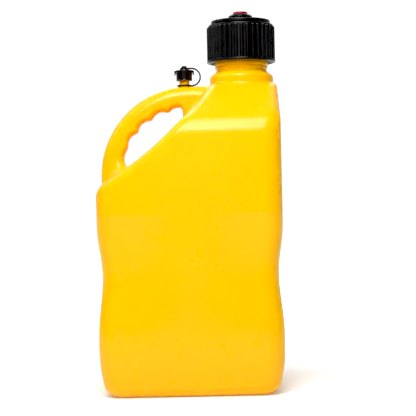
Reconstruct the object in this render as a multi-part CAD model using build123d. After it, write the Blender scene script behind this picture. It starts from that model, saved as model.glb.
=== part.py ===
from build123d import *
import math
import os

# A square utility fuel jug: a blow-moulded hollow body with a loop handle over its sloped rear
# shoulder, a big ribbed screw cap with a plugged hose port, and a small vent cap on a strap.
# Millimetres. The origin is the centre of the base, +Z is up and +X points to the neck's side.

# Jug body
HALF = 130.0  # half of the square plan
WALL = 3.2  # moulded wall
CORNER_R = 25.0  # vertical corners
BASE_R = 16.0  # rounding under the sides
DRAW_Z = 70.0  # the sides curve inwards below this height
DRAW_IN = 10.0  # and are this far in at the bottom
WAIST_Z = 168.0  # height of the waist's narrowest line
WAIST_LOW = 84.0
WAIST_HIGH = 240.0
WAIST_DEPTH_X = 6.5  # the two end faces
WAIST_DEPTH_Y = 3.5  # the two broad panels
FOOT_RECESS = 4.0  # the base is pushed up inside its foot ring
FOOT_RING = 36.0  # from the side face to the edge of the recess
TOP_Z = 443.0  # flat top that the neck stands on
SHOULDER_Z = 381.5  # the broad panels lean inwards above this crease
TOP_HALF_Y = 46.8  # half-width of the flat top
SLOPE_CENTRE = (-334.0, 683.6)  # the sloped rear top is one large hollow arc
SLOPE_R = 440.1
EDGE_R = 9.0  # rounding along the slope and the shoulders
EDGES_ABOVE = 285.0  # every edge above this height belongs to the slope, shoulders or top
FOOT_TAPER = 40.0  # degrees
SPAN = 150.0  # reach of the cutting outlines, past the body
BELOW = -10.0  # and below it
ABOVE = TOP_Z + 30  # and above it

# Handle
HANDLE_CENTRE = (1.0, 310.5)
HANDLE_R = 131.0  # outer arc
HANDLE_HALF_Y = 17.0
HANDLE_EDGE_R = 12.0
GRIP_CENTRE = (-3.9, 313.3)
GRIP_R = 91.0  # arc of the finger opening
GRIP_FRONT_X = -8.0
NOTCH_REACH = 98.5  # floor of the finger notches, from the grip's centre
NOTCH_R = 17.0
NOTCH_FIRST = 97.5  # degrees round the grip's centre
NOTCH_STEP = 16.7
NOTCHES = 4
HEEL_REACH = 96.5  # wall behind the little finger, below the last notch
HEEL_R = 40.0
HEEL_ANGLE = 166.0
TOOTH_R = 3.5
GRIP_EDGE_R = 3.5
GRIP_FRONT_R = 6.0
HAND_EDGES_ABOVE = 320.0  # the finger opening's edges above the slope
HANDLE_ROOT_Z = 290.0  # the handle's solid starts here, inside the main volume
HANDLE_FRONT_X = 45.0

# Neck and its thread
NECK_X = 79.5
COLLAR_R = 46.4
COLLAR_TOP = 452.0
NECK_R = 38.6
BEAD_LOW = 470.0
NECK_TOP = 528.5
THREAD_PITCH = 8.0
NECK_THREAD_Z = 489.0
NECK_THREAD_TURNS = 4
THREAD_DEPTH = 3.1
THREAD_ROOT = 4.4
THREAD_CREST = 2.2
THREAD_SINK = 0.6  # how far a thread's root is buried in its wall

# Vent neck
VENT_X = -5.0
VENT_BASE = 441.3
VENT_BOSS_R = 9.0
VENT_R = 7.2
VENT_BORE_R = 5.0
VENT_TOP = 460.5
VENT_PITCH = 3.0
VENT_THREAD_Z = 452.6
VENT_THREAD_TURNS = 2
VENT_THREAD_DEPTH = 0.9
VENT_THREAD_ROOT = 1.5
VENT_THREAD_CREST = 0.7

# Main cap
CAP_LOW = 474.5
CAP_BEAD_R = 50.4  # plain band round the cap's lower edge
CAP_BEAD_Z = 478.5
CAP_CORE_R = 48.0  # floor between the ribs
CAP_STEP_Z = 530.0  # top of the ribbed skirt
CAP_DISC_R = 43.5
CAP_TOP = 536.5
CAP_MOUTH_R = 46.6
CAP_BORE_R = 42.9
CAP_SEAL_R = 40.6  # pocket that holds the gasket
CAP_SEAL_LOW = 524.0
CAP_UNDERSIDE = 531.0
CAP_RIBS = 36
RIB_R = 2.5
CAP_THREAD_Z = NECK_THREAD_Z + THREAD_PITCH / 2  # midway between the neck's turns
CAP_THREAD_TURNS = 3.5
PORT_HOLE_R = 12.6

# Gasket in the main cap
GASKET_IN_R = 34.5
GASKET_OUT_R = 40.2

# Port bushing and its plug
BUSHING_SHANK_R = 12.5
BUSHING_FOOT_R = 14.5
BUSHING_FLANGE_R = 17.5
BUSHING_FLANGE_LOW = 541.0
BUSHING_FLANGE_HIGH = 544.5
BUSHING_TOP = 546.5
BUSHING_TOP_R = 11.6
BUSHING_LOW = 522.0
BUSHING_BARB_R = 13.6
PLUG_BORE_R = 8.0
PLUG_FIT = 0.08  # running clearance of the plug in the bushing
PLUG_HEAD_R = 10.8
PLUG_TOP = 550.0
PLUG_LOW = 526.0

# Vent cap, its gasket and its strap
VENT_CAP_LOW = 450.0
VENT_SKIRT_R = 10.9
VENT_SKIRT_BORE = 8.6
VENT_FLANGE_LOW = 461.7
VENT_FLANGE_TOP = 465.4
VENT_FLANGE_R = 12.5
VENT_LUGS = 6
VENT_LUG_R = 14.5
VENT_LUG_WIDE = 4.5
VENT_GASKET_THICK = 1.2
VENT_DOME_R = 7.4
VENT_DOME_TOP = 467.2
STEM_R = 2.5
KNOB_LOW = 469.7
KNOB_R = 3.8
KNOB_TOP = 472.0
STRAP_THICK = 2.2
STRAP_WIDTH = 5.0
STRAP_BEND = ((13.5, 443.4), (18.2, 450.5), (16.5, 459.5), (9.5, 468.4))
STRAP_BEND_R = 4.0
RING_IN_R = 7.6
RING_OUT_R = 10.6
RING_LOW = 441.8
RING_HIGH = 444.0
LOOP_OUT_R = 6.0
LOOP_LOW = 467.4
LOOP_HIGH = 469.4


def slope_z(x, inset=0.0):
    """Height of the sloped rear top at x, or of its inner face."""
    reach = x - SLOPE_CENTRE[0]
    return SLOPE_CENTRE[1] - math.sqrt((SLOPE_R + inset) ** 2 - reach**2)


def half_wave(start, end):
    """Two equal arcs that leave the first point and reach the last one upright."""
    middle = ((start[0] + end[0]) / 2, (start[1] + end[1]) / 2)
    first = TangentArc(start, middle, tangent=(0, 1))
    second = TangentArc(middle, end, tangent=first % 1)
    return [first, second]


def waisted_outline(depth, inset):
    """Upright outline of the column, drawn in at its foot and by depth at its waist."""
    half = HALF - inset
    right = [TangentArc((half, DRAW_Z), (half - DRAW_IN, inset), tangent=(0, -1))]
    right += [Line((half, DRAW_Z), (half, WAIST_LOW))]
    right += half_wave((half, WAIST_LOW), (half - depth, WAIST_Z))
    right += half_wave((half - depth, WAIST_Z), (half, WAIST_HIGH))
    right += [Line((half, WAIST_HIGH), (half, ABOVE))]
    left = [mirror(edge, Plane.YZ) for edge in right]
    foot = half - DRAW_IN
    ends = [Line((-foot, inset), (foot, inset)), Line((-half, ABOVE), (half, ABOVE))]
    return make_face(right + left + ends)


def slope_outline(inset):
    """Side view of everything under the slope and the flat top."""
    top = TOP_Z - inset
    front_x = SLOPE_CENTRE[0] + math.sqrt((SLOPE_R + inset) ** 2 - (SLOPE_CENTRE[1] - top) ** 2)
    points = [(x, slope_z(x, inset)) for x in (front_x, (front_x - SPAN) / 2, -SPAN)]
    slope = ThreePointArc(*points)
    rest = Polyline(points[-1], (-SPAN, BELOW), (SPAN, BELOW), (SPAN, top), points[0])
    return make_face([slope, rest])


def shoulder_outline(inset):
    """End view of everything under the two leaning shoulder panels."""
    lean = math.atan2(TOP_Z - SHOULDER_Z, HALF - TOP_HALF_Y)
    top = TOP_Z - inset
    drop = inset / math.cos(lean)
    top_y = TOP_HALF_Y - (drop - inset) / math.tan(lean)
    side_z = SHOULDER_Z - drop - math.tan(lean) * (SPAN - HALF)
    right = [(SPAN, BELOW), (SPAN, side_z), (top_y, top)]
    left = [(-y, z) for y, z in reversed(right)]
    return make_face(Polyline(*right, *left, close=True))


def along_y(outline, reach=SPAN):
    return extrude(Plane.XZ * outline, reach, both=True)


def along_x(outline):
    return extrude(Plane.YZ * outline, SPAN, both=True)


def main_volume(inset):
    """The jug's main volume, with every face moved in by inset."""
    block = along_y(waisted_outline(WAIST_DEPTH_X, inset)) & along_x(waisted_outline(WAIST_DEPTH_Y, inset))
    reach = HALF - CORNER_R
    corners = block.edges().filter_by(lambda e: min(abs(e.center().X), abs(e.center().Y)) > reach)
    block = fillet(corners, CORNER_R - inset)
    block = fillet(block.faces().sort_by(Axis.Z)[0].edges(), BASE_R - inset)
    block &= along_y(slope_outline(inset))
    block &= along_x(shoulder_outline(inset))
    upper = block.edges().filter_by(lambda e: e.center().Z > EDGES_ABOVE)
    block = fillet(upper, EDGE_R - inset)
    return block - foot_recess(inset)


def foot_recess(inset):
    """The pushed-up middle of the base, inside the ring that the jug stands on."""
    side = 2 * (HALF - FOOT_RING + inset)
    outline = RectangleRounded(side, side, CORNER_R)
    return extrude(outline, FOOT_RECESS + inset, taper=FOOT_TAPER)


def polar(centre, reach, degrees):
    """A point at a distance and angle from a centre."""
    angle = math.radians(degrees)
    return (centre[0] + reach * math.cos(angle), centre[1] + reach * math.sin(angle))


def finger_opening(inset):
    """Side view of the hand hole, with its finger notches, grown by inset into the handle."""
    hole = Pos(*GRIP_CENTRE) * Circle(GRIP_R + inset)
    for index in range(NOTCHES):
        place = polar(GRIP_CENTRE, NOTCH_REACH - NOTCH_R, NOTCH_FIRST + NOTCH_STEP * index)
        hole += Pos(*place) * Circle(NOTCH_R + inset)
    hole += Pos(*polar(GRIP_CENTRE, HEEL_REACH - HEEL_R, HEEL_ANGLE)) * Circle(HEEL_R + inset)
    hole = fillet(hole.vertices().filter_by(lambda v: v.X < 0 and v.Y > GRIP_CENTRE[1]), TOOTH_R - inset)
    keep = Pos(GRIP_FRONT_X + inset - SPAN / 2, GRIP_CENTRE[1]) * Rectangle(SPAN, 2 * SPAN)
    hole &= keep
    return fillet(hole.vertices().sort_by(Axis.Y)[-1], GRIP_FRONT_R + inset)


def handle(inset):
    """The loop handle as a solid bar, rooted inside the main volume, with its finger opening."""
    radius = HANDLE_R - inset
    middle_x, middle_z = HANDLE_CENTRE
    rear_x = middle_x - radius
    top = middle_z + radius
    arc = ThreePointArc((rear_x, middle_z), polar(HANDLE_CENTRE, radius, 135), (middle_x, top))
    low = (rear_x, HANDLE_ROOT_Z)
    front = HANDLE_FRONT_X
    rest = Polyline((middle_x, top), (front, top), (front, HANDLE_ROOT_Z), low, (rear_x, middle_z))
    bar = along_y(make_face([arc, rest]), HANDLE_HALF_Y - inset)
    outer = bar.edges().filter_by(lambda e: abs(e.center().Y) > HANDLE_HALF_Y - inset - 0.1)
    outer = outer.filter_by(lambda e: e.center().Z > HANDLE_ROOT_Z + 1 and e.center().X < front - 1)
    bar = fillet(outer, HANDLE_EDGE_R - inset)
    bar -= along_y(finger_opening(inset))
    if inset:
        return bar
    hand = bar.edges().filter_by(lambda e: abs(e.center().Y) > HANDLE_HALF_Y - 0.1)
    hand = hand.filter_by(lambda e: e.center().Z > HAND_EDGES_ABOVE)
    hand = hand.filter_by(lambda e: math.dist((e.center().X, e.center().Z), GRIP_CENTRE) < NOTCH_REACH + 1)
    return fillet(hand, GRIP_EDGE_R)


def turned(points, x=0.0):
    """A solid of revolution about the upright line at x, from (radius, height) points."""
    profile = make_face(Polyline(*points, close=True))
    return Pos(x, 0, 0) * revolve(Plane.XZ * profile, Axis.Z)


def thread(radius, reach, pitch, turns, low, root, crest, inward=False):
    """A helical ridge standing reach out of a wall at radius, or into it for a nut's thread."""
    sign = -1 if inward else 1
    sink = radius - sign * THREAD_SINK
    tip = radius + sign * reach
    points = [
        (sink, low - root / 2), (tip, low - crest / 2), (tip, low + crest / 2), (sink, low + root / 2),
    ]
    profile = Plane.XZ * make_face(Polyline(*points, close=True))
    path = Pos(0, 0, low) * Helix(pitch, pitch * turns, radius)
    return sweep(profile, path=path, is_frenet=True)


def jug_body():
    """Body, handle, collar, neck and vent neck as one hollow moulding."""
    outside = main_volume(0) + handle(0)
    collar = [
        (0, TOP_Z - 8), (COLLAR_R, TOP_Z - 8), (COLLAR_R, COLLAR_TOP), (COLLAR_R - 2, COLLAR_TOP + 4),
        (NECK_R + 3, COLLAR_TOP + 8), (NECK_R - 1.6, COLLAR_TOP + 9), (NECK_R - 1.6, COLLAR_TOP + 11),
        (NECK_R, COLLAR_TOP + 13), (NECK_R, BEAD_LOW), (NECK_R + 1, BEAD_LOW + 1),
        (NECK_R + 1, BEAD_LOW + 3), (NECK_R, BEAD_LOW + 4), (NECK_R, NECK_TOP - 1),
        (NECK_R - 1, NECK_TOP), (0, NECK_TOP),
    ]
    outside += turned(collar, NECK_X)
    spigot = [
        (0, VENT_BASE - 8), (VENT_BOSS_R, VENT_BASE - 8), (VENT_BOSS_R, RING_LOW - 0.2),
        (VENT_R, RING_LOW - 0.2), (VENT_R, VENT_TOP - 0.5), (VENT_R - 0.5, VENT_TOP), (0, VENT_TOP),
    ]
    outside += turned(spigot, VENT_X)
    outside += Pos(NECK_X, 0, 0) * thread(
        NECK_R, THREAD_DEPTH, THREAD_PITCH, NECK_THREAD_TURNS, NECK_THREAD_Z, THREAD_ROOT, THREAD_CREST
    )
    outside += Pos(VENT_X, 0, 0) * thread(
        VENT_R, VENT_THREAD_DEPTH, VENT_PITCH, VENT_THREAD_TURNS, VENT_THREAD_Z, VENT_THREAD_ROOT,
        VENT_THREAD_CREST,
    )
    bore = NECK_R - WALL
    shoulder = COLLAR_R - WALL
    throat = [
        (0, TOP_Z - 20), (shoulder, TOP_Z - 20), (shoulder, COLLAR_TOP - 1), (bore, COLLAR_TOP + 6),
        (bore, NECK_TOP + 1), (0, NECK_TOP + 1),
    ]
    inside = main_volume(WALL) + handle(WALL) + turned(throat, NECK_X)
    vent_bore = [
        (0, VENT_BASE - 12), (VENT_BORE_R, VENT_BASE - 12), (VENT_BORE_R, VENT_TOP + 1), (0, VENT_TOP + 1),
    ]
    inside += turned(vent_bore, VENT_X)
    return outside - inside


def main_cap():
    """Ribbed screw cap with a stepped top disc, a port hole and its own thread inside."""
    outer = [
        (0, CAP_LOW), (CAP_BEAD_R - 0.8, CAP_LOW), (CAP_BEAD_R, CAP_LOW + 0.8),
        (CAP_BEAD_R, CAP_BEAD_Z - 0.8), (CAP_BEAD_R - 0.8, CAP_BEAD_Z), (CAP_CORE_R, CAP_BEAD_Z),
        (CAP_CORE_R, CAP_STEP_Z - 2),
        (CAP_CORE_R - 2, CAP_STEP_Z), (CAP_DISC_R - 0.8, CAP_STEP_Z), (CAP_DISC_R - 0.8, CAP_STEP_Z + 1.5),
        (CAP_DISC_R, CAP_STEP_Z + 2.3), (CAP_DISC_R, CAP_TOP - 1), (CAP_DISC_R - 1, CAP_TOP), (0, CAP_TOP),
    ]
    cap = turned(outer)
    rib_low = CAP_BEAD_Z - 1
    rib_long = CAP_STEP_Z - 2 - rib_low
    rib = Pos(CAP_CORE_R - 0.4, 0, rib_low + rib_long / 2) * Cylinder(RIB_R, rib_long)
    rib = fillet(rib.edges().sort_by(Axis.Z)[-1], RIB_R * 0.7)
    cap += [Rot(0, 0, index * 360 / CAP_RIBS) * rib for index in range(CAP_RIBS)]
    pocket = CAP_UNDERSIDE
    inner = [
        (0, CAP_LOW - 1), (CAP_MOUTH_R, CAP_LOW - 1), (CAP_MOUTH_R, CAP_BEAD_Z - 2),
        (CAP_BORE_R, CAP_BEAD_Z + 2), (CAP_BORE_R, CAP_SEAL_LOW - 2), (CAP_SEAL_R, CAP_SEAL_LOW),
        (CAP_SEAL_R, pocket), (PORT_HOLE_R, pocket), (PORT_HOLE_R, CAP_TOP + 1), (0, CAP_TOP + 1),
    ]
    cap -= turned(inner)
    cap += thread(
        CAP_BORE_R, THREAD_DEPTH, THREAD_PITCH, CAP_THREAD_TURNS, CAP_THREAD_Z, THREAD_ROOT, THREAD_CREST,
        inward=True,
    )
    return Pos(NECK_X, 0, 0) * cap


def cap_gasket():
    """Flat ring squeezed between the neck's rim and the cap."""
    low = NECK_TOP
    high = CAP_UNDERSIDE
    ring = [(GASKET_IN_R, low), (GASKET_OUT_R, low), (GASKET_OUT_R, high), (GASKET_IN_R, high)]
    return turned(ring, NECK_X)


def port_bushing():
    """Flanged bushing snapped into the cap's port hole, held by a barb under the cap."""
    barb = CAP_UNDERSIDE
    low = BUSHING_LOW
    profile = [
        (PLUG_BORE_R + PLUG_FIT, low), (BUSHING_SHANK_R - 1, low), (BUSHING_BARB_R, barb - 3),
        (BUSHING_BARB_R, barb), (BUSHING_SHANK_R, barb), (BUSHING_SHANK_R, CAP_TOP),
        (BUSHING_FOOT_R, CAP_TOP), (BUSHING_FOOT_R, BUSHING_FLANGE_LOW),
        (BUSHING_FLANGE_R, BUSHING_FLANGE_LOW),
        (BUSHING_FLANGE_R, BUSHING_FLANGE_HIGH - 0.8), (BUSHING_FLANGE_R - 0.8, BUSHING_FLANGE_HIGH),
        (BUSHING_TOP_R + 2, BUSHING_FLANGE_HIGH), (BUSHING_TOP_R, BUSHING_TOP),
        (PLUG_BORE_R + PLUG_FIT, BUSHING_TOP),
    ]
    return turned(profile, NECK_X)


def port_plug():
    """Push-in plug with a flat head that closes the bushing."""
    profile = [
        (0, PLUG_LOW), (PLUG_BORE_R - 2, PLUG_LOW), (PLUG_BORE_R, PLUG_LOW + 3), (PLUG_BORE_R, BUSHING_TOP),
        (PLUG_HEAD_R - 0.5, BUSHING_TOP), (PLUG_HEAD_R, BUSHING_TOP + 0.5), (PLUG_HEAD_R, PLUG_TOP - 0.8),
        (PLUG_HEAD_R - 0.8, PLUG_TOP), (0, PLUG_TOP),
    ]
    return turned(profile, NECK_X)


def vent_cap():
    """Small screw cap with a lugged flange, and a knob that the strap's loop hangs on."""
    low = VENT_CAP_LOW
    outer = [
        (0, low), (VENT_SKIRT_R - 0.5, low), (VENT_SKIRT_R, low + 0.5), (VENT_SKIRT_R, VENT_FLANGE_LOW),
        (VENT_FLANGE_R, VENT_FLANGE_LOW), (VENT_FLANGE_R, VENT_FLANGE_TOP - 0.6),
        (VENT_FLANGE_R - 0.6, VENT_FLANGE_TOP), (VENT_DOME_R, VENT_FLANGE_TOP),
        (VENT_DOME_R - 1, VENT_DOME_TOP), (STEM_R, VENT_DOME_TOP), (STEM_R, KNOB_LOW),
        (KNOB_R, KNOB_LOW + 0.3), (KNOB_R, KNOB_TOP - 1), (KNOB_R - 1.2, KNOB_TOP), (0, KNOB_TOP),
    ]
    cap = turned(outer)
    lug_low = VENT_FLANGE_LOW - 3.5
    lug_high = VENT_FLANGE_TOP - 0.4
    lug_in = VENT_SKIRT_R - 1.5
    lug = Pos((lug_in + VENT_LUG_R) / 2, 0, (lug_low + lug_high) / 2) * Box(
        VENT_LUG_R - lug_in, VENT_LUG_WIDE, lug_high - lug_low
    )
    lug = fillet(lug.edges().filter_by(Axis.Z).group_by(Axis.X)[-1], VENT_LUG_WIDE * 0.35)
    cap += [Rot(0, 0, index * 360 / VENT_LUGS) * lug for index in range(VENT_LUGS)]
    inner = [
        (0, low - 1), (VENT_SKIRT_BORE, low - 1), (VENT_SKIRT_BORE, VENT_TOP + VENT_GASKET_THICK),
        (0, VENT_TOP + VENT_GASKET_THICK),
    ]
    cap -= turned(inner)
    cap += thread(
        VENT_SKIRT_BORE, VENT_THREAD_DEPTH, VENT_PITCH, VENT_THREAD_TURNS, VENT_THREAD_Z + VENT_PITCH / 2,
        VENT_THREAD_ROOT, VENT_THREAD_CREST, inward=True,
    )
    return Pos(VENT_X, 0, 0) * cap


def vent_gasket():
    """Disc that closes the vent's bore under its cap."""
    disc = VENT_SKIRT_BORE - 0.4
    return Pos(VENT_X, 0, VENT_TOP + VENT_GASKET_THICK / 2) * Cylinder(disc, VENT_GASKET_THICK)


def vent_tether():
    """Moulded strap: a ring round the vent neck, a bowed band, and a loop round the cap's knob."""
    ring = [(RING_IN_R, RING_LOW), (RING_OUT_R, RING_LOW), (RING_OUT_R, RING_HIGH), (RING_IN_R, RING_HIGH)]
    hole = STEM_R + 0.4
    loop = [(hole, LOOP_LOW), (LOOP_OUT_R, LOOP_LOW), (LOOP_OUT_R, LOOP_HIGH), (hole, LOOP_HIGH)]
    ring_z = (RING_LOW + RING_HIGH) / 2
    loop_z = (LOOP_LOW + LOOP_HIGH) / 2
    start = (VENT_X + RING_OUT_R - 1, ring_z)
    end = (VENT_X + LOOP_OUT_R - 1, loop_z)
    route = FilletPolyline(start, *STRAP_BEND, end, radius=STRAP_BEND_R)
    band = extrude(Plane.XZ * trace(route, STRAP_THICK), STRAP_WIDTH / 2, both=True)
    strap = turned(ring, VENT_X) + turned(loop, VENT_X) + band
    strap -= Pos(VENT_X, 0, ring_z) * Cylinder(RING_IN_R, 2 * STRAP_THICK)
    return strap - Pos(VENT_X, 0, loop_z) * Cylinder(hole, 2 * STRAP_THICK)


PIECES = (
    jug_body, main_cap, cap_gasket, port_bushing, port_plug, vent_cap, vent_gasket, vent_tether
)

os.makedirs("parts", exist_ok=True)
for piece in PIECES:
    export_step(piece(), f"parts/{piece.__name__}.step")
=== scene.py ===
import math

import bmesh
import bpy
import numpy as np
from mathutils import Euler, Matrix, Vector


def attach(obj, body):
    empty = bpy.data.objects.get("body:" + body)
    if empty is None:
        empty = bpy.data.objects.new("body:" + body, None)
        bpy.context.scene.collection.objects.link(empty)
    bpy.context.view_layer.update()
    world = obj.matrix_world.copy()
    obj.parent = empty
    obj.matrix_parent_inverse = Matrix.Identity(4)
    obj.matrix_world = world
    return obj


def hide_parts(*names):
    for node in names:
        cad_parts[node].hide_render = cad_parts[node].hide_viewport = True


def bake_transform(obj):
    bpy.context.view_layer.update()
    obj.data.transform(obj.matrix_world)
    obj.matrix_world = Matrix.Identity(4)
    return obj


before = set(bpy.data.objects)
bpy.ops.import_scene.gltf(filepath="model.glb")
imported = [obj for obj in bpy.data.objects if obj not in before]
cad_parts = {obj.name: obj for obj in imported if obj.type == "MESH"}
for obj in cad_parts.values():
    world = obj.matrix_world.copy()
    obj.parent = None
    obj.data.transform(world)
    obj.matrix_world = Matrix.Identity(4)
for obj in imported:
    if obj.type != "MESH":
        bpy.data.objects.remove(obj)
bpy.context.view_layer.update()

# Sizes are in millimetres, in the frame's own axes, and become metres when a mesh is made.
MM = 0.001

# Jug body
HALF = 130.0
WALL = 3.2
CORNER_R = 25.0
BASE_R = 16.0
DRAW_Z = 70.0  # the sides curve inwards below this height
DRAW_IN = 10.0  # and are this far in at the bottom
WAIST_Z = 168.0
WAIST_LOW = 84.0
WAIST_HIGH = 238.0
PANEL_HIGH = 254.0  # crease where the broad panels start to lean into the waist
WAIST_DEPTH = 6.4
RIDGE_DEPTH = 1.2  # waist depth on the upright ridge in the middle of a broad panel
PANEL_CROWN = 0.7
FOOT_RECESS = 4.0
FOOT_HALF = 94.0
TOP_Z = 443.0
TOP_HALF_Y = 46.8
SHOULDER_Z = 381.5
SLOPE_CENTRE = (-334.0, 683.6)
SLOPE_R = 440.1
CREASE_R = 15.0
EDGE_R = 12.0

# Handle
HANDLE_CENTRE = (1.0, 310.5)
HANDLE_R = 131.0
HANDLE_HALF_Y = 17.0
HANDLE_FRONT_X = 52.0
HANDLE_ROOT_Z = 285.0
HANDLE_EDGE_R = 16.0
GRIP_CENTRE = (-3.9, 313.3)
GRIP_R = 91.0
GRIP_FRONT_X = -8.0
GRIP_EDGE_R = 8.0
NOTCH_REACH = 98.5
NOTCH_R = 17.0
NOTCH_FIRST = 97.5
NOTCH_STEP = 16.7
NOTCHES = 4
HEEL_REACH = 96.5  # wall behind the little finger, below the last notch
HEEL_R = 40.0
HEEL_ANGLE = 166.0
TOOTH_R = 3.5
HANDLE_BLEND = 28.0  # at the rear, inside the finger opening
HANDLE_TOP_BLEND = 5.0

# Neck
NECK_X = 79.5
COLLAR_R = 46.4
COLLAR_TOP = 452.0
COLLAR_CUT = 447.5  # height where the neck's fine mesh takes over from the body's
NECK_R = 38.6
NECK_TOP = 528.5
THREAD_PITCH = 8.0
THREAD_DEPTH = 3.1
NECK_THREAD_Z = 489.0
NECK_THREAD_TURNS = 4.0

# Vent neck
VENT_X = -5.0
VENT_R = 7.2
VENT_BORE_R = 5.0
VENT_BOSS_R = 9.0
VENT_TOP = 460.5
VENT_PITCH = 3.0
VENT_THREAD_Z = 452.6
VENT_THREAD_DEPTH = 0.9

# Main cap
CAP_LOW = 474.5
CAP_BEAD_R = 50.4  # plain band round the cap's lower edge
CAP_BEAD_Z = 478.5
CAP_CORE_R = 48.0  # floor between the ribs
CAP_STEP_Z = 530.0  # top of the ribbed skirt
CAP_DISC_R = 43.5
CAP_TOP = 536.5
CAP_MOUTH_R = 46.6
CAP_BORE_R = 42.9
CAP_SEAL_R = 40.6
CAP_SEAL_LOW = 524.0
CAP_UNDERSIDE = 531.0
CAP_RIBS = 36
RIB_REACH = 2.1  # how far a rib stands out of the floor
RIB_HALF = 2.5
RIB_END = 1.8  # rounding of a rib's top end
RIB_STEPS = 20  # points round the cap for each rib
PORT_HOLE_R = 12.6

# Port bushing and plug
BUSHING_FOOT_R = 14.5
BUSHING_FLANGE_R = 17.5
BUSHING_FLANGE_LOW = 541.0
BUSHING_TOP = 546.5
BUSHING_TOP_R = 11.6
BUSHING_LOW = 522.0
BUSHING_SHANK_R = 12.5
BUSHING_BARB_R = 13.6
PLUG_BORE_R = 8.08
PLUG_SHANK_R = 8.0
PLUG_HEAD_R = 10.8
PLUG_TOP = 550.0
PLUG_LOW = 526.0

# Vent cap and its strap
VENT_CAP_LOW = 450.0
VENT_SKIRT_R = 11.8
VENT_SKIRT_BORE = 8.6
VENT_CEILING = 461.7
VENT_FLANGE_LOW = 461.7
VENT_FLANGE_TOP = 465.4
VENT_FLANGE_R = 12.9
VENT_LUGS = 6
VENT_LUG_R = 14.5
VENT_LUG_IN_R = 12.5
VENT_LUG_WIDE = 4.5
VENT_LUG_LONG = 6.6
VENT_DOME_R = 7.4
VENT_DOME_TOP = 467.2
STEM_R = 2.5
KNOB_LOW = 469.7
KNOB_R = 3.8
KNOB_TOP = 472.0
RING_LOW = 441.8
RING_HIGH = 444.0
RING_IN_R = 7.6
RING_OUT_R = 10.6
LOOP_IN_R = 2.9
LOOP_OUT_R = 6.0
LOOP_LOW = 467.4
LOOP_HIGH = 469.4
STRAP_THICK = 2.1
STRAP_WIDTH = 4.6

WORLD = ((0.35, 0.08), (0.6, 0.26), (0.88, 0.40), (0.98, 1.1))  # brightness from front to back
# painted light: how brightly the floor paper glows in front of the object and behind it
FLOOR_GLOW_NEAR = 0.18
FLOOR_GLOW_FAR = 1.0
KEY_POWER = 22.0
CARD_POWER = 1.1
LEFT_POWER = 3.5
TOP_POWER = 11.0
BACK_POWER = 5.0
BLACK_LEVEL = 0.018

SEAM_R = 0.25  # the moulding's parting line

BODY_STEP = 2.0
INNER_STEP = 4.0


# ---------------------------------------------------------------- distance fields

def fillet_max(a, b, r):
    """Distance to where two solids overlap, with the edge between them rounded to r."""
    return np.minimum(np.maximum(a, b), -r) + np.hypot(np.maximum(a + r, 0), np.maximum(b + r, 0))


def fillet_min(a, b, r):
    """Distance to two solids joined, with the corner between them filled to r."""
    return -fillet_max(-a, -b, r)


def rounded_square(x, y, half_x, half_y, r):
    over_x = np.abs(x) - half_x + r
    over_y = np.abs(y) - half_y + r
    outside = np.hypot(np.maximum(over_x, 0), np.maximum(over_y, 0))
    return outside + np.minimum(np.maximum(over_x, over_y), 0) - r


def smooth_step(low, high, value):
    """0 at low, 1 at high, easing in and out; low may be the greater."""
    t = np.clip((value - low) / (high - low), 0, 1)
    return t * t * (3 - 2 * t)


def waist(z, high):
    """0 above and below the waist, 1 at its narrowest, easing in and out."""
    above = (z - WAIST_Z) / (high - WAIST_Z)
    below = (WAIST_Z - z) / (WAIST_Z - WAIST_LOW)
    return 0.5 + 0.5 * np.cos(np.pi * np.clip(np.maximum(above, below), 0, 1))


def panel_waist(z):
    """The same on the broad panels, where the waist starts at a faint crease."""
    above = np.clip((z - WAIST_Z) / (PANEL_HIGH - WAIST_Z), 0, 1)
    below = np.clip((WAIST_Z - z) / (WAIST_Z - WAIST_LOW), 0, 1)
    return np.where(z > WAIST_Z, 1 - above**1.9, 0.5 + 0.5 * np.cos(np.pi * below))


def column_distance(x, y, z):
    side = smooth_step(8, 85, np.abs(x))
    dent = RIDGE_DEPTH + (WAIST_DEPTH - RIDGE_DEPTH) * side
    draw = DRAW_IN * np.clip(1 - z / DRAW_Z, 0, 1) ** 2
    half_y = HALF - draw - dent * panel_waist(z) - PANEL_CROWN * (x / 100) ** 2
    half_x = HALF - draw - WAIST_DEPTH * waist(z, WAIST_HIGH)
    column = rounded_square(x, y, half_x, half_y, CORNER_R)
    return fillet_max(column, -z, BASE_R)


def shoulder_distance(y, z):
    lean = math.atan2(TOP_Z - SHOULDER_Z, HALF - TOP_HALF_Y)
    return (np.abs(y) - HALF) * math.sin(lean) + (z - SHOULDER_Z) * math.cos(lean)


def hand_hole(x, z):
    """Side view of the finger opening: an arc with finger notches round it."""
    hole = np.hypot(x - GRIP_CENTRE[0], z - GRIP_CENTRE[1]) - GRIP_R
    for index in range(NOTCHES):
        angle = math.radians(NOTCH_FIRST + NOTCH_STEP * index)
        notch_x = GRIP_CENTRE[0] + (NOTCH_REACH - NOTCH_R) * math.cos(angle)
        notch_z = GRIP_CENTRE[1] + (NOTCH_REACH - NOTCH_R) * math.sin(angle)
        hole = fillet_min(hole, np.hypot(x - notch_x, z - notch_z) - NOTCH_R, TOOTH_R)
    heel = math.radians(HEEL_ANGLE)
    heel_x = GRIP_CENTRE[0] + (HEEL_REACH - HEEL_R) * math.cos(heel)
    heel_z = GRIP_CENTRE[1] + (HEEL_REACH - HEEL_R) * math.sin(heel)
    hole = fillet_min(hole, np.hypot(x - heel_x, z - heel_z) - HEEL_R, TOOTH_R)
    return fillet_max(hole, x - GRIP_FRONT_X, 6.0)


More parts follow.
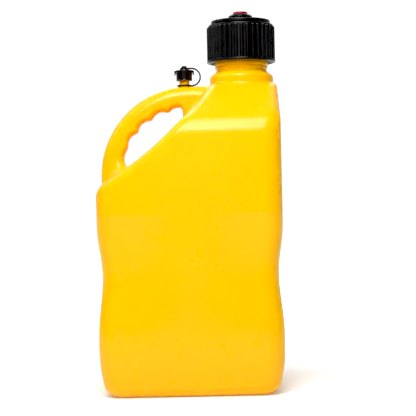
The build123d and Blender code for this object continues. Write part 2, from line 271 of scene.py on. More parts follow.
def handle_distance(x, y, z):
    reach_x = np.minimum(x - HANDLE_CENTRE[0], 0)
    reach_z = np.maximum(z - HANDLE_CENTRE[1], 0)
    outer = np.hypot(reach_x, reach_z) - HANDLE_R
    bar = fillet_max(outer, np.abs(y) - HANDLE_HALF_Y, HANDLE_EDGE_R)
    bar = fillet_max(bar, -hand_hole(x, z), GRIP_EDGE_R)
    return np.maximum(np.maximum(bar, HANDLE_ROOT_Z - z), x - HANDLE_FRONT_X)


def jug_distance(x, y, z):
    """Distance to the outside of the moulded body, below zero inside it."""
    jug = column_distance(x, y, z)
    jug = fillet_max(jug, shoulder_distance(y, z), CREASE_R)
    jug = fillet_max(jug, SLOPE_R - np.hypot(x - SLOPE_CENTRE[0], z - SLOPE_CENTRE[1]), EDGE_R)
    jug = fillet_max(jug, z - TOP_Z, 8.0)
    blend = 0.5 + (HANDLE_BLEND - 0.5) * smooth_step(-HALF, -HALF + 25, x) * smooth_step(-30, -70, x)
    blend = blend + HANDLE_TOP_BLEND * smooth_step(-70, -30, x)
    jug = fillet_min(jug, handle_distance(x, y, z), blend)
    collar = fillet_max(np.hypot(x - NECK_X, y) - COLLAR_R, z - COLLAR_TOP - 20, 7.5)
    jug = fillet_min(jug, np.maximum(collar, TOP_Z - 20 - z), 3.0)
    recess = fillet_max(rounded_square(x, y, FOOT_HALF, FOOT_HALF, CORNER_R), z - FOOT_RECESS, 2.0)
    return fillet_max(jug, -recess, 3.0)


def liner_distance(x, y, z):
    """Distance to the inside face of the wall."""
    return jug_distance(x, y, z) + WALL


# ---------------------------------------------------------------- meshes

def gradient(distance, points):
    """Unit outward direction of a distance field at each point."""
    nudge = 0.05
    x, y, z = points.T
    slope = np.stack([
        distance(x + nudge, y, z) - distance(x - nudge, y, z),
        distance(x, y + nudge, z) - distance(x, y - nudge, z),
        distance(x, y, z + nudge) - distance(x, y, z - nudge),
    ], axis=1)
    return slope / np.maximum(np.linalg.norm(slope, axis=1, keepdims=True), 1e-9)


def surface_net(distance, low, high, step):
    """Quads over the zero surface of a distance field, from a regular grid of samples."""
    axes = [np.arange(a, b + step, step) for a, b in zip(low, high)]
    grid = distance(*np.meshgrid(*axes, indexing="ij", sparse=True)).astype(np.float32)
    inside = grid < 0
    corners = [(i, j, k) for i in (0, 1) for j in (0, 1) for k in (0, 1)]
    size = np.array(grid.shape) - 1
    count = sum(
        inside[i:i + size[0], j:j + size[1], k:k + size[2]].astype(np.int8) for i, j, k in corners
    )
    cells = np.argwhere((count > 0) & (count < 8))
    number = np.full(size, -1, np.int64)
    number[tuple(cells.T)] = np.arange(len(cells))
    values = {c: grid[tuple((cells + c).T)] for c in corners}
    total = np.zeros((len(cells), 3))
    crossings = np.zeros(len(cells))
    for a in corners:
        for axis in range(3):
            if a[axis]:
                continue
            b = tuple(v + (n == axis) for n, v in enumerate(a))
            crossed = (values[a] < 0) != (values[b] < 0)
            share = np.where(crossed, values[a] / np.where(crossed, values[a] - values[b], 1), 0)
            point = np.array(a) + share[:, None] * np.eye(3)[axis]
            total += point * crossed[:, None]
            crossings += crossed
    points = (cells + total / crossings[:, None]) * step + np.array([a[0] for a in axes])
    quads = []
    for axis in range(3):
        one, two = (axis + 1) % 3, (axis + 2) % 3
        first = [slice(1, -1)] * 3
        first[axis] = slice(0, -1)
        after = list(first)
        after[axis] = slice(1, None)
        here, there = inside[tuple(first)], inside[tuple(after)]
        for rising in (True, False):
            edge = np.argwhere(here & ~there if rising else ~here & there)
            edge[:, one] += 1
            edge[:, two] += 1
            ring = []
            for back_one, back_two in ((0, 0), (1, 0), (1, 1), (0, 1)):
                cell = edge.copy()
                cell[:, one] -= back_one
                cell[:, two] -= back_two
                ring.append(number[tuple(cell.T)])
            quads.append(np.stack(ring if rising else ring[::-1], axis=1))
    return points, np.concatenate(quads)


def settled(distance, points, rounds=4):
    """Moves points onto the zero surface of a distance field."""
    for _ in range(rounds):
        points = points - distance(*points.T)[:, None] * gradient(distance, points)
    return points


def mesh_object(name, points, faces):
    """A smooth mesh object from points in millimetres."""
    mesh = bpy.data.meshes.new(name)
    mesh.from_pydata((np.asarray(points) * MM).tolist(), [], np.asarray(faces).tolist()
                     if isinstance(faces, np.ndarray) else faces)
    mesh.polygons.foreach_set("use_smooth", [True] * len(mesh.polygons))
    mesh.update()
    thing = bpy.data.objects.new(name, mesh)
    bpy.context.scene.collection.objects.link(thing)
    return thing


def cut_above(thing, height):
    """Trims a mesh off level at a height, leaving an open rim."""
    work = bmesh.new()
    work.from_mesh(thing.data)
    everything = work.verts[:] + work.edges[:] + work.faces[:]
    bmesh.ops.bisect_plane(
        work, geom=everything, plane_co=(0, 0, height * MM), plane_no=(0, 0, 1), clear_outer=True
    )
    work.to_mesh(thing.data)
    work.free()


def weighted(thing):
    """Keeps the broad faces of a turned piece flat-shaded up to their rounded edges."""
    keeper = thing.modifiers.new("weighted", "WEIGHTED_NORMAL")
    keeper.weight = 80
    keeper.keep_sharp = True
    return thing


def opened(thing, x, r, low):
    """Cuts a round hole about the upright line at x, through everything above a height."""
    work = bmesh.new()
    work.from_mesh(thing.data)
    gone = [v for v in work.verts if v.co.z > low * MM and math.hypot(v.co.x - x * MM, v.co.y) < r * MM]
    bmesh.ops.delete(work, geom=gone, context="VERTS")
    work.to_mesh(thing.data)
    work.free()


def field_normals(thing, distance):
    """Exact directions of a distance field at a mesh's points."""
    points = np.empty(len(thing.data.vertices) * 3)
    thing.data.vertices.foreach_get("co", points)
    return gradient(distance, points.reshape(-1, 3) / MM)


def corner(point, before, after, radius, pieces):
    """Points of an arc that rounds one corner of a profile."""
    p, a, b = (np.array(v[:2], float) for v in (point, before, after))
    to_a, to_b = a - p, b - p
    length_a, length_b = np.linalg.norm(to_a), np.linalg.norm(to_b)
    to_a, to_b = to_a / length_a, to_b / length_b
    half = math.acos(np.clip(to_a @ to_b, -1, 1)) / 2
    if radius <= 0 or half > 1.55:
        return [tuple(p)]
    reach = min(radius / math.tan(half), 0.48 * length_a, 0.48 * length_b)
    r = reach * math.tan(half)
    middle = p + (to_a + to_b) / np.linalg.norm(to_a + to_b) * (r / math.sin(half))
    start, end = p + to_a * reach - middle, p + to_b * reach - middle
    turn = math.atan2(start[0] * end[1] - start[1] * end[0], start @ end)
    out = []
    for index in range(pieces + 1):
        t = turn * index / pieces
        out.append(tuple(middle + np.array([
            start[0] * math.cos(t) - start[1] * math.sin(t), start[0] * math.sin(t) + start[1] * math.cos(t)
        ])))
    return out


def rounded(points, closed=True, pieces=4):
    """A profile of (radius, height, rounding) points with its corners rounded."""
    out = []
    last = len(points) - 1
    for index, point in enumerate(points):
        if not closed and index in (0, last):
            out.append((float(point[0]), float(point[1])))
            continue
        out += corner(point, points[index - 1], points[(index + 1) % len(points)], point[2], pieces)
    return out


def lathe(name, profile, steps=128, x=0.0, closed=True, bulge=None):
    """Turns a profile of (radius, height) points about the upright line at x.

    bulge(angle, radius, height) may add to the radius, for ribs. Points on the axis are single.
    """
    angles = np.arange(steps) * (2 * math.pi / steps)
    points = []
    rows = []
    for r, z in profile:
        if r < 1e-6:
            rows.append([len(points)] * steps)
            points.append((x, 0, z))
            continue
        reach = np.full(steps, r) if bulge is None else r + bulge(angles, r, z)
        rows.append(range(len(points), len(points) + steps))
        points += [(x + q * math.cos(a), q * math.sin(a), z) for q, a in zip(reach, angles)]
    faces = []
    pairs = list(zip(rows, rows[1:]))
    if closed:
        pairs.append((rows[-1], rows[0]))
    for low, high in pairs:
        for i in range(steps):
            j = (i + 1) % steps
            ring = [low[i], low[j], high[j], high[i]]
            ring = [v for n, v in enumerate(ring) if v not in ring[:n]]
            if len(ring) > 2:
                faces.append(ring)
    return mesh_object(name, points, faces)


def helix_ridge(name, x, radius, reach, pitch, turns, low, root, crest, sink=0.4):
    """A closed helical thread ridge; a negative reach makes one that stands inwards."""
    per_turn = 96
    count = int(turns * per_turn)
    sign = 1 if reach > 0 else -1
    section = [(-sink * sign, -root / 2), (reach * 0.5, -(root + crest) / 4), (reach, -crest / 2),
               (reach, crest / 2), (reach * 0.5, (root + crest) / 4), (-sink * sign, root / 2)]
    if sign < 0:
        section = section[::-1]
    points = []
    for i in range(count + 1):
        angle = 2 * math.pi * i / per_turn
        fade = min(1.0, 12 * i / per_turn, 12 * (count - i) / per_turn)
        for out, up in section:
            r = radius + (out * fade if out * sign > 0 else out)
            points.append((x + r * math.cos(angle), r * math.sin(angle), low + pitch * i / per_turn + up))
    wide = len(section)
    faces = [
        [i * wide + j, i * wide + (j + 1) % wide, (i + 1) * wide + (j + 1) % wide, (i + 1) * wide + j]
        for i in range(count) for j in range(wide)
    ]
    faces.append(list(range(wide))[::-1])
    faces.append([count * wide + j for j in range(wide)])
    return mesh_object(name, points, [f[::-1] for f in faces])


def joined(name, things):
    """One object from several, keeping each part's own faces."""
    bpy.ops.object.select_all(action="DESELECT")
    for thing in things:
        thing.select_set(True)
    bpy.context.view_layer.objects.active = things[0]
    bpy.ops.object.join()
    things[0].name = name
    things[0].data.name = name
    return things[0]


# ---------------------------------------------------------------- materials

class Material:
    """A Principled material with short ways to add nodes to it."""

    def __init__(self, name, **sockets):
        self.made = bpy.data.materials.new(name)
        self.made.use_nodes = True
        self.nodes = self.made.node_tree.nodes
        self.link = self.made.node_tree.links.new
        self.shader = self.nodes["Principled BSDF"]
        for key, value in sockets.items():
            self.shader.inputs[key.replace("_", " ")].default_value = value
        self.place = self.nodes.new("ShaderNodeTexCoord").outputs["Object"]

    def noise(self, scale, detail=2.0, rough=0.5, stretch=None):
        node = self.nodes.new("ShaderNodeTexNoise")
        node.inputs["Scale"].default_value = scale
        node.inputs["Detail"].default_value = detail
        node.inputs["Roughness"].default_value = rough
        place = self.place
        if stretch:
            mapping = self.nodes.new("ShaderNodeMapping")
            mapping.inputs["Scale"].default_value = stretch
            self.link(self.place, mapping.inputs["Vector"])
            place = mapping.outputs["Vector"]
        self.link(place, node.inputs["Vector"])
        return node.outputs["Fac"]

    def span(self, value, low, high, start=0.3, end=0.7):
        node = self.nodes.new("ShaderNodeMapRange")
        node.inputs["From Min"].default_value = start
        node.inputs["From Max"].default_value = end
        node.inputs["To Min"].default_value = low
        node.inputs["To Max"].default_value = high
        self.link(value, node.inputs["Value"])
        return node.outputs["Result"]

    def colours(self, value, stops):
        node = self.nodes.new("ShaderNodeValToRGB")
        ramp = node.color_ramp
        while len(ramp.elements) < len(stops):
            ramp.elements.new(0.5)
        for element, (at, colour) in zip(ramp.elements, stops):
            element.position = at
            element.color = (*colour, 1)
        self.link(value, node.inputs["Fac"])
        return node.outputs["Color"]

    def bump(self, height, distance, strength=1.0, under=None):
        node = self.nodes.new("ShaderNodeBump")
        node.inputs["Distance"].default_value = distance
        node.inputs["Strength"].default_value = strength
        self.link(height, node.inputs["Height"])
        if under is not None:
            self.link(under, node.inputs["Normal"])
        return node.outputs["Normal"]

    def set(self, socket, value):
        self.link(value, self.shader.inputs[socket])


def jug_plastic():
    """Pigmented polyethylene: a waxy, slightly translucent yellow with a fine moulded skin."""
    m = Material("jug_polyethylene", IOR=1.5, Specular_IOR_Level=0.28)
    m.shader.subsurface_method = "RANDOM_WALK"
    m.shader.inputs["Subsurface Weight"].default_value = 0.25
    m.shader.inputs["Subsurface Radius"].default_value = (1.0, 0.45, 0.03)
    m.shader.inputs["Subsurface Scale"].default_value = 0.006
    clouds = m.noise(9.0, detail=3.0)
    m.set("Base Color", m.colours(clouds, [(0.3, (0.94, 0.465, 0.003)), (0.7, (0.95, 0.475, 0.003))]))
    m.set("Roughness", m.span(m.noise(38.0, detail=4.0), 0.27, 0.29))
    flow = m.bump(m.noise(22.0, detail=2.0, stretch=(1, 1, 0.35)), 0.00004, 0.5)
    m.set("Normal", m.bump(m.noise(1400.0, detail=2.0), 0.00003, 0.5, under=flow))
    return m.made


def black_plastic(name, shade, roughness):
    m = Material(name, Specular_IOR_Level=0.42)
    m.set("Base Color", m.colours(m.noise(60.0), [(0.3, (shade, shade, shade * 1.08)),
                                                 (0.7, (shade * 1.5, shade * 1.5, shade * 1.6))]))
    m.set("Roughness", m.span(m.noise(90.0, detail=3.0), roughness - 0.04, roughness + 0.04))
    m.set("Normal", m.bump(m.noise(1500.0, detail=2.0), 0.00001, 0.5))
    return m.made


def red_plastic():
    m = Material("plug_plastic", Roughness=0.35)
    m.set("Base Color", m.colours(m.noise(80.0), [(0.3, (0.30, 0.002, 0.014)), (0.7, (0.36, 0.003, 0.018))]))
    m.set("Roughness", m.span(m.noise(200.0, detail=3.0), 0.28, 0.40))
    m.set("Normal", m.bump(m.noise(1800.0), 0.00003, 0.4))
    return m.made


def seal_rubber():
    m = Material("seal_rubber", Roughness=0.75)
    m.set("Base Color", m.colours(m.noise(120.0), [(0.3, (0.035, 0.035, 0.038)), (0.7, (0.06, 0.06, 0.064))]))
    m.set("Roughness", m.span(m.noise(300.0, detail=4.0), 0.65, 0.85))
    m.set("Normal", m.bump(m.noise(2600.0, detail=3.0), 0.00005, 0.6))
    return m.made


def paint(thing, material):
    thing.data.materials.clear()
    thing.data.materials.append(material)


# ---------------------------------------------------------------- pieces

def neck_mesh():
    """Neck from the collar up, over its rim and down its bore to the liner."""
    groove = NECK_R - 1.6
    bore = NECK_R - WALL
    profile = rounded([
        (COLLAR_R, COLLAR_CUT, 0), (COLLAR_R, COLLAR_TOP + 3, 7), (NECK_R + 0.2, COLLAR_TOP + 8.5, 2.5),
        (groove, COLLAR_TOP + 9.5, 1), (groove, COLLAR_TOP + 12.5, 1), (NECK_R, COLLAR_TOP + 14, 1),
        (NECK_R, 469.6, 0.5), (NECK_R + 1.2, 470.4, 0.8), (NECK_R + 1.2, 473.6, 0.8), (NECK_R, 474.4, 0.5),
        (NECK_R, NECK_TOP, 1.2), (bore, NECK_TOP, 0.8), (bore, COLLAR_TOP + 8, 5),
        (COLLAR_R - WALL, COLLAR_TOP - 1, 5), (COLLAR_R - WALL, COLLAR_CUT - 4, 0),
    ], closed=False, pieces=6)
    return lathe("neck", profile, steps=192, x=NECK_X, closed=False)


def vent_neck_mesh():
    profile = rounded([
        (VENT_BOSS_R, 437, 0), (VENT_BOSS_R, RING_LOW - 0.2, 0.3), (VENT_R, RING_LOW - 0.2, 0.3),
        (VENT_R, VENT_TOP, 0.6), (VENT_BORE_R, VENT_TOP, 0.4), (VENT_BORE_R, 436, 0),
    ], closed=False)
    return lathe("vent_neck", profile, steps=72, x=VENT_X, closed=False)


def jug_shell():
    """The whole moulding: outside, liner, neck, vent neck and their threads."""
    low = (-HALF - 3, -HALF - 3, -3)
    parts = []
    normals = []
    for name, distance, step, cut in (
        ("outside", jug_distance, BODY_STEP, COLLAR_CUT),
        ("liner", liner_distance, INNER_STEP, COLLAR_CUT - 4),
    ):
        points, quads = surface_net(distance, low, (HALF + 3, HALF + 3, COLLAR_TOP + 4), step)
        points = settled(distance, points)
        inwards = name == "liner"
        part = mesh_object(name, points, quads[:, ::-1] if inwards else quads)
        cut_above(part, cut)
        opened(part, VENT_X, VENT_BORE_R + step, TOP_Z - 20)
        normals.append(field_normals(part, distance) * (-1 if inwards else 1))
        parts.append(part)
    parts += [
        neck_mesh(), vent_neck_mesh(),
        helix_ridge("neck_thread", NECK_X, NECK_R, THREAD_DEPTH, THREAD_PITCH, NECK_THREAD_TURNS,
                    NECK_THREAD_Z, 4.4, 2.2),
        helix_ridge("vent_thread", VENT_X, VENT_R, VENT_THREAD_DEPTH, VENT_PITCH, 2.0, VENT_THREAD_Z,
                    1.5, 0.7, sink=0.2),
    ]
    for part in parts[2:]:
        normals.append(np.array([v.normal[:] for v in part.data.vertices]))
    shell = joined("jug_shell", parts)
    shell.data.normals_split_custom_set_from_vertices(np.concatenate(normals).tolist())
    paint(shell, jug_plastic())
    return shell


def rib_bulge(angles, r, z):
    """Half-round ribs on the cap's skirt, rounded over at their top ends."""
    if abs(r - CAP_CORE_R) > 0.01:
        return np.zeros_like(angles)
    spacing = 2 * math.pi / CAP_RIBS
    across = ((angles / spacing + 0.5) % 1 - 0.5) * spacing * CAP_CORE_R
    over = max(0.0, z - (CAP_STEP_Z - 2.6 - RIB_END)) / RIB_END
    tall = RIB_REACH * math.sqrt(max(0.0, 1 - over**2))
    return tall * np.clip(1 - (across / RIB_HALF) ** 2, 0, 1) ** 0.6


def main_cap_mesh():
    """Screw cap: plain bead, ribbed skirt, overhanging top disc, port hole and inner thread."""
    rib_top = CAP_STEP_Z - 2.6
    skirt_low = CAP_BEAD_Z + 0.4
    skirt_high = rib_top - RIB_END
    skirt = [(CAP_CORE_R, skirt_low + (skirt_high - skirt_low) * n / 4) for n in range(5)]
    skirt += [(CAP_CORE_R, rib_top - RIB_END * (1 - math.sin(math.pi / 2 * n / 5))) for n in range(1, 6)]
    bottom = rounded([
        (CAP_MOUTH_R, CAP_BEAD_Z - 2, 1), (CAP_MOUTH_R, CAP_LOW, 0.9), (CAP_BEAD_R, CAP_LOW, 1.5),
        (CAP_BEAD_R, CAP_BEAD_Z, 1.5), (CAP_CORE_R + 0.5, CAP_BEAD_Z + 0.1, 0),
    ], closed=False)
    top = rounded([
        (CAP_CORE_R - 0.02, rib_top + 0.2, 0), (CAP_CORE_R - 0.02, CAP_STEP_Z, 2.0),
        (CAP_DISC_R - 1.7, CAP_STEP_Z, 0.4), (CAP_DISC_R - 1.7, CAP_STEP_Z + 1.7, 0.4),
        (CAP_DISC_R, CAP_STEP_Z + 2.2, 0.6), (CAP_DISC_R, CAP_TOP, 1.3), (PORT_HOLE_R, CAP_TOP, 0.4),
        (PORT_HOLE_R, CAP_UNDERSIDE, 0.4), (CAP_SEAL_R, CAP_UNDERSIDE, 0.5), (CAP_SEAL_R, CAP_SEAL_LOW, 0.5),
        (CAP_BORE_R, CAP_SEAL_LOW - 2, 0.5), (CAP_BORE_R, CAP_BEAD_Z + 2, 1),
        (CAP_MOUTH_R, CAP_BEAD_Z - 2, 0),
    ], closed=False)
    shell = lathe("main_cap_moulding", bottom + skirt + top[:-1], steps=CAP_RIBS * RIB_STEPS, x=NECK_X,
                  bulge=rib_bulge)
    thread = helix_ridge("cap_thread", NECK_X, CAP_BORE_R, -THREAD_DEPTH, THREAD_PITCH, 3.5,
                         NECK_THREAD_Z + THREAD_PITCH / 2, 4.4, 2.2)
    return weighted(joined("main_cap_moulding", [shell, thread]))


def bushing_mesh():
    profile = rounded([
        (PLUG_BORE_R, BUSHING_LOW, 0.4), (BUSHING_SHANK_R - 1, BUSHING_LOW, 0.6),
        (BUSHING_BARB_R, CAP_UNDERSIDE - 3, 0.5), (BUSHING_BARB_R, CAP_UNDERSIDE - 0.05, 0.3),
        (BUSHING_SHANK_R, CAP_UNDERSIDE - 0.05, 0.2), (BUSHING_SHANK_R, CAP_TOP + 0.02, 0.2),
        (BUSHING_FOOT_R, CAP_TOP + 0.02, 0.3), (BUSHING_FOOT_R, BUSHING_FLANGE_LOW, 0.7),
        (BUSHING_FLANGE_R, BUSHING_FLANGE_LOW, 0.5), (BUSHING_FLANGE_R, BUSHING_FLANGE_LOW + 2.4, 0.8),
        (BUSHING_TOP_R + 3.2, BUSHING_TOP - 0.6, 1.0), (BUSHING_TOP_R + 1.6, BUSHING_TOP, 0.5),
        (PLUG_BORE_R, BUSHING_TOP, 0.3),
    ])
    return weighted(lathe("hose_port_bushing", profile, steps=128, x=NECK_X))


def plug_mesh():
    profile = rounded([
        (0, PLUG_LOW, 0), (PLUG_SHANK_R - 2, PLUG_LOW, 0.8), (PLUG_SHANK_R, PLUG_LOW + 3, 0.8),
        (PLUG_SHANK_R, 538.5, 0.3), (PLUG_SHANK_R - 0.5, 539.2, 0.3), (PLUG_SHANK_R - 0.5, 541.2, 0.3),
        (PLUG_SHANK_R, 541.9, 0.3), (PLUG_SHANK_R, BUSHING_TOP + 0.02, 0.2),
        (PLUG_HEAD_R, BUSHING_TOP + 0.02, 0.5), (PLUG_HEAD_R, PLUG_TOP - 0.4, 1.2),
        (PLUG_HEAD_R - 2.8, PLUG_TOP, 0.6), (PLUG_HEAD_R - 3.6, PLUG_TOP - 0.7, 0.6), (0, PLUG_TOP - 0.7, 0),
    ], closed=False)
    return weighted(lathe("hose_port_plug", profile, steps=96, x=NECK_X, closed=False))


def softened_box(name, low, high, bevel):
    """A box between two corners with its edges rounded."""
    work = bmesh.new()
    bmesh.ops.create_cube(work, size=1)
    for v in work.verts:
        v.co = [(a + b) / 2 + c * (b - a) for a, b, c in zip(low, high, v.co)]
    bmesh.ops.bevel(work, geom=work.edges[:], offset=bevel, segments=3, profile=0.5, affect="EDGES")
    points = [v.co[:] for v in work.verts]
    faces = [[v.index for v in f.verts] for f in work.faces]
    work.free()
    return mesh_object(name, points, faces)


def vent_cap_mesh():
    """Small cap: skirt, flange with hanging lugs, low dome, and the knob that holds the strap."""
    profile = rounded([
        (0, KNOB_TOP, 0), (KNOB_R, KNOB_TOP, 1.0), (KNOB_R, KNOB_LOW, 0.5), (STEM_R, KNOB_LOW, 0.2),
        (STEM_R, VENT_DOME_TOP, 0.5), (VENT_DOME_R - 0.6, VENT_DOME_TOP, 0.8),
        (VENT_DOME_R, VENT_FLANGE_TOP, 0.5), (VENT_FLANGE_R, VENT_FLANGE_TOP, 0.7),
        (VENT_FLANGE_R, VENT_FLANGE_LOW + 1.0, 0.4), (VENT_SKIRT_R, VENT_FLANGE_LOW, 0.5),
        (VENT_SKIRT_R - 0.3, VENT_CAP_LOW + 1.6, 0.4), (VENT_SKIRT_R, VENT_CAP_LOW + 1.0, 0.4),
        (VENT_SKIRT_R, VENT_CAP_LOW, 0.5), (VENT_SKIRT_BORE, VENT_CAP_LOW, 0.4),
        (VENT_SKIRT_BORE, VENT_CEILING, 0.3), (0, VENT_CEILING, 0),
    ], closed=False)
    parts = [lathe("vent_cap_moulding", profile[::-1], steps=96, x=VENT_X, closed=False)]
    for index in range(VENT_LUGS):
        lug = softened_box(
            "lug", (VENT_LUG_IN_R, -VENT_LUG_WIDE / 2, VENT_FLANGE_TOP - 0.2 - VENT_LUG_LONG),
            (VENT_LUG_R, VENT_LUG_WIDE / 2, VENT_FLANGE_TOP - 0.2), 0.7
        )
        turn = Matrix.Translation((VENT_X * MM, 0, 0)) @ Matrix.Rotation(index * math.tau / VENT_LUGS, 4, "Z")
        lug.data.transform(turn)
        parts.append(lug)
    parts.append(helix_ridge("vent_cap_thread", VENT_X, VENT_SKIRT_BORE, -VENT_THREAD_DEPTH, VENT_PITCH, 2.0,
                             VENT_THREAD_Z + VENT_PITCH / 2, 1.5, 0.7, sink=0.2))
    return weighted(joined("vent_cap_moulding", parts))


def strap_mesh():
    """Moulded strap: a ring round the vent neck, a half-circle band, and a loop under the knob."""
    ring_z, loop_z = (RING_LOW + RING_HIGH) / 2, (LOOP_LOW + LOOP_HIGH) / 2
    ring = lathe("strap_ring", rounded([
        (RING_IN_R, RING_LOW, 0.5), (RING_OUT_R, RING_LOW, 0.5), (RING_OUT_R, RING_HIGH, 0.5),
        (RING_IN_R, RING_HIGH, 0.5)]), steps=72, x=VENT_X)
    loop = lathe("strap_loop", rounded([
        (LOOP_IN_R, LOOP_LOW, 0.4), (LOOP_OUT_R, LOOP_LOW, 0.4), (LOOP_OUT_R, LOOP_HIGH, 0.4),
        (LOOP_IN_R, LOOP_HIGH, 0.4)]), steps=48, x=VENT_X)
    bend = (loop_z - ring_z) / 2
    middle_x, middle_z = VENT_X + RING_OUT_R + 0.2, (ring_z + loop_z) / 2
    turns = [math.pi * (n / 48 - 0.5) for n in range(49)]
    path = [(middle_x + bend * math.cos(t), middle_z + bend * math.sin(t), t) for t in turns]
    start = (VENT_X + RING_OUT_R - 1.5, ring_z, turns[0])
    end = (VENT_X + LOOP_OUT_R - 1, loop_z, turns[-1])
    path = [start] + path + [end]
    section = rounded([(STRAP_THICK / 2, -STRAP_WIDTH / 2, 0.5), (STRAP_THICK / 2, STRAP_WIDTH / 2, 0.5),
                       (-STRAP_THICK / 2, STRAP_WIDTH / 2, 0.5), (-STRAP_THICK / 2, -STRAP_WIDTH / 2, 0.5)],
                      pieces=3)
    points = [
        (x + out * math.cos(t), along, z + out * math.sin(t)) for x, z, t in path for out, along in section
    ]
    wide = len(section)
    faces = [
        [i * wide + j, (i + 1) * wide + j, (i + 1) * wide + (j + 1) % wide, i * wide + (j + 1) % wide]
        for i in range(len(path) - 1) for j in range(wide)
    ]
    faces.append(list(range(wide)))
    faces.append([(len(path) - 1) * wide + j for j in range(wide)][::-1])
    band = mesh_object("strap_band", points, faces)
    return joined("vent_cap_strap", [ring, loop, band])


def parting_line(shell):
    """The fine raised line where the mould's two halves met, all round the middle plane."""
    work = bmesh.new()
    work.from_mesh(shell.data)
    everything = work.verts[:] + work.edges[:] + work.faces[:]
    cut = bmesh.ops.bisect_plane(work, geom=everything, plane_co=(0, 0, 0), plane_no=(0, 1, 0))["geom_cut"]
    edges = [e for e in cut if isinstance(e, bmesh.types.BMEdge)]
    number = {}
    points, pairs = [], []
    for edge in edges:
        middle = (edge.verts[0].co + edge.verts[1].co) / 2 / MM
        if abs(jug_distance(middle.x, middle.y, middle.z)) > 0.5 or middle.z < 0.6:
            continue
        for v in edge.verts:
            if v not in number:
                number[v] = len(points)
                points.append(v.co[:])
        pairs.append([number[v] for v in edge.verts])
    work.free()
    mesh = bpy.data.meshes.new("parting_line")
    mesh.from_pydata(points, pairs, [])
    line = bpy.data.objects.new("parting_line", mesh)
    bpy.context.scene.collection.objects.link(line)
    bpy.ops.object.select_all(action="DESELECT")
    line.select_set(True)
    bpy.context.view_layer.objects.active = line
    bpy.ops.object.convert(target="CURVE")
    line.data.bevel_depth = SEAM_R * MM
    line.data.bevel_resolution = 1
    bpy.ops.object.convert(target="MESH")
    line.data.polygons.foreach_set("use_smooth", [True] * len(line.data.polygons))
    return line


def place(piece, body, slot, *nodes):
    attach(piece, body)
    if nodes:
        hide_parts(*nodes)


# ---------------------------------------------------------------- studio

def area_light(name, place_at, target, size, power, size_y=None):
    data = bpy.data.lights.new(name, "AREA")
    data.shape = "RECTANGLE"
    data.size = size
    data.size_y = size_y or size
    data.energy = power
    lamp = bpy.data.objects.new(name, data)
    lamp.location = place_at
    lamp.rotation_euler = (Vector(target) - Vector(place_at)).to_track_quat("-Z", "Y").to_euler()
    bpy.context.scene.collection.objects.link(lamp)
    return lamp


def studio_world():
    """Bright white behind the object, dim in front of it, and plain white where the camera looks."""
    world = bpy.data.worlds.new("studio")
    bpy.context.scene.world = world
    world.use_nodes = True
    nodes, link = world.node_tree.nodes, world.node_tree.links.new
    direction = nodes.new("ShaderNodeTexCoord").outputs["Generated"]
    split = nodes.new("ShaderNodeSeparateXYZ")
    link(direction, split.inputs["Vector"])
    half = nodes.new("ShaderNodeMath")
    half.operation = "MULTIPLY_ADD"
    half.inputs[1].default_value = 0.5
    half.inputs[2].default_value = 0.5
    link(split.outputs["Y"], half.inputs[0])
    level = nodes.new("ShaderNodeValToRGB")
    ramp = level.color_ramp
    while len(ramp.elements) < len(WORLD):
        ramp.elements.new(0.5)
    for element, (at, bright) in zip(ramp.elements, WORLD):
        element.position = at
        element.color = (bright, bright, bright, 1)
    link(half.outputs["Value"], level.inputs["Fac"])
    fill = nodes["Background"]
    link(level.outputs["Color"], fill.inputs["Color"])
    seen = nodes.new("ShaderNodeBackground")
    seen.inputs["Color"].default_value = (1, 1, 1, 1)
    seen.inputs["Strength"].default_value = 1.1
    path = nodes.new("ShaderNodeLightPath")
    mix = nodes.new("ShaderNodeMixShader")
    link(path.outputs["Is Camera Ray"], mix.inputs["Fac"])
    link(fill.outputs["Background"], mix.inputs[1])
    link(seen.outputs["Background"], mix.inputs[2])
    link(mix.outputs["Shader"], nodes["World Output"].inputs["Surface"])


def studio_floor():
    """White paper all round, with painted light: the paper glows, dim in front of the object and full white
    behind it, like a lit backdrop.
    """
    mesh = bpy.data.meshes.new("floor")
    reach = 6.0
    corners = [(-reach, -reach, 0), (reach, -reach, 0), (reach, reach, 0), (-reach, reach, 0)]
    mesh.from_pydata(corners, [], [(0, 1, 2, 3)])
    floor = bpy.data.objects.new("floor", mesh)
    bpy.context.scene.collection.objects.link(floor)
    m = Material("glowing_floor_paper", Roughness=0.6, Specular_IOR_Level=0.2)
    m.shader.inputs["Base Color"].default_value = (0.9, 0.9, 0.9, 1)
    m.shader.inputs["Emission Color"].default_value = (1, 1, 1, 1)
    split = m.nodes.new("ShaderNodeSeparateXYZ")
    m.link(m.place, split.inputs["Vector"])
    # painted light: the paper's glow rises from dim in front of the object to bright behind it
    m.set("Emission Strength", m.span(split.outputs["Y"], FLOOR_GLOW_NEAR, FLOOR_GLOW_FAR, 0.1, 0.9))
    mesh.materials.append(m.made)


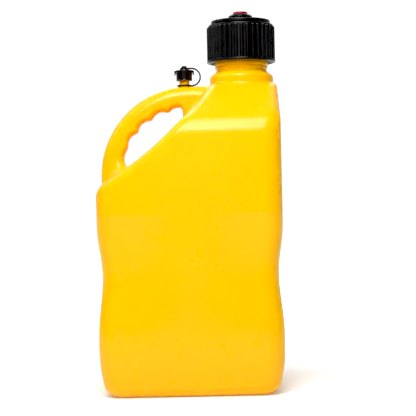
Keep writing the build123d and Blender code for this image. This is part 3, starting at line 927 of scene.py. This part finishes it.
def studio():
    settings = bpy.context.scene.view_settings
    settings.view_transform = "Standard"
    settings.use_curve_mapping = True
    settings.curve_mapping.black_level = (BLACK_LEVEL, BLACK_LEVEL, BLACK_LEVEL)
    settings.curve_mapping.update()
    studio_world()
    studio_floor()
    area_light("key", (-0.15, -1.35, 1.4), (0, -0.1, 0.3), 0.7, KEY_POWER, size_y=0.5)
    area_light("card", (0.0, -2.2, 0.65), (0.0, 0, 0.65), 0.4, CARD_POWER, size_y=0.8)
    area_light("top", (0.0, -0.75, 1.5), (0, -0.1, 0.4), 0.8, TOP_POWER, size_y=0.4)
    area_light("left", (-0.9, 0.0, 1.2), (0, 0, 0.4), 0.35, LEFT_POWER, size_y=0.9)
    area_light("back", (0.1, 0.9, 1.3), (0, 0, 0.4), 1.2, BACK_POWER, size_y=0.5)


def camera():
    data = bpy.data.cameras.new("camera")
    data.sensor_width = 36
    data.lens = 111.3
    view = bpy.data.objects.new("camera", data)
    view.location = (0.026, -1.898, 0.262)
    view.rotation_euler = Euler((math.radians(90), 0, 0))
    view.rotation_euler.rotate_axis("Z", math.radians(-1.2))
    bpy.context.scene.collection.objects.link(view)
    bpy.context.scene.camera = view


shell = jug_shell()
place(shell, "jug", "jug_plastic", "jug_body")
seam = parting_line(shell)
paint(seam, shell.data.materials[0])
place(seam, "jug", "jug_plastic")
cap_black = black_plastic("cap_polypropylene", 0.006, 0.30)
strap_black = black_plastic("strap_plastic", 0.010, 0.42)
bushing_black = black_plastic("bushing_plastic", 0.006, 0.26)
for make, material, body, slot, node in (
    (main_cap_mesh, cap_black, "cap", "cap_plastic", "main_cap"),
    (bushing_mesh, bushing_black, "cap", "bushing_plastic", "port_bushing"),
    (plug_mesh, red_plastic(), "plug", "plug_plastic", "port_plug"),
    (vent_cap_mesh, cap_black, "vent", "cap_plastic", "vent_cap"),
):
    piece = make()
    paint(piece, material)
    place(piece, body, slot, node)
strap = strap_mesh()
paint(strap, strap_black)
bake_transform(strap)
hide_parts("vent_tether")
rubber = seal_rubber()
paint(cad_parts["cap_gasket"], rubber)
paint(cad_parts["vent_gasket"], rubber)
studio()
camera()
